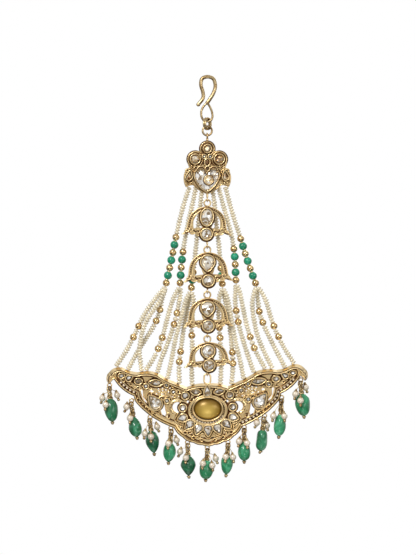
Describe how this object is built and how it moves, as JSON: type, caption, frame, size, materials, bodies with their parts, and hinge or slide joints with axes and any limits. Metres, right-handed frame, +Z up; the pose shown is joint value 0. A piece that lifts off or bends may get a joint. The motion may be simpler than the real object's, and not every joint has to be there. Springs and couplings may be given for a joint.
{
  "type": "passa jhoomar head ornament",
  "caption": "Hanging head ornament: wire hook, crown plate, chain of bell motifs and fanned pearl strings above a pierced crescent with green drops.",
  "frame": {"origin": "inner top of the hook, where the hair or a pin carries it", "axes": "+Z up, front face looks along -Y, +X to the right as seen from the front"},
  "size_m": [0.0849, 0.0111, 0.1632],
  "materials": {
    "gold": "antique polished gold plating, darker in the recesses",
    "clear_stone": "clear cut stone on foil",
    "golden_stone": "polished silky golden cabochon",
    "pearl": "satin cream pearl",
    "green_stone": "polished marbled green stone"
  },
  "bodies": {
    "hook": {"hook": "gold"},
    "hook_ring": {"hook_ring": "gold"},
    "headpiece": {"crown_ring": "gold", "crown_plate": "gold", "crown_heart_stone": "clear_stone", "crown_stones": "clear_stone", "bell_1": "gold", "bell_1_stones": "clear_stone", "bell_2": "gold", "bell_2_stones": "clear_stone", "bell_3": "gold", "bell_3_stones": "clear_stone", "bell_4": "gold", "bell_4_stones": "clear_stone", "crescent_frame": "gold", "crescent_cabochon": "golden_stone", "crescent_pear_left": "clear_stone", "crescent_pear_right": "clear_stone", "crescent_stones_middle": "clear_stone", "crescent_stones_left": "clear_stone", "crescent_stones_right": "clear_stone", "string_left_outer": "pearl", "string_left_middle": "pearl", "string_left_inner": "pearl", "gold_beads_left": "gold", "green_beads_left": "green_stone", "drop_pearls_left": "pearl", "string_right_outer": "pearl", "string_right_middle": "pearl", "string_right_inner": "pearl", "gold_beads_right": "gold", "green_beads_right": "green_stone", "drop_pearls_right": "pearl", "drop_01_bead": "green_stone", "drop_01_wires": "gold", "drop_02_bead": "green_stone", "drop_02_wires": "gold", "drop_03_bead": "green_stone", "drop_03_wires": "gold", "drop_04_bead": "green_stone", "drop_04_wires": "gold", "drop_05_bead": "green_stone", "drop_05_wires": "gold", "drop_06_bead": "green_stone", "drop_06_wires": "gold", "drop_07_bead": "green_stone", "drop_07_wires": "gold", "drop_08_bead": "green_stone", "drop_08_wires": "gold", "drop_09_bead": "green_stone", "drop_09_wires": "gold", "drop_10_bead": "green_stone", "drop_10_wires": "gold", "drop_11_bead": "green_stone", "drop_11_wires": "gold"}
  },
  "joints": [
    {"name": "hook_swing", "type": "hinge", "parent": "hook", "child": "hook_ring", "pos_m": [0, 0, -0.01675], "axis": [1, 0, 0], "range_deg": [-30, 30]},
    {"name": "crown_swing", "type": "hinge", "parent": "hook_ring", "child": "headpiece", "pos_m": [0, 0, -0.01993], "axis": [0.5, 0.866, 0], "range_deg": [-40, 40]}
  ]
}
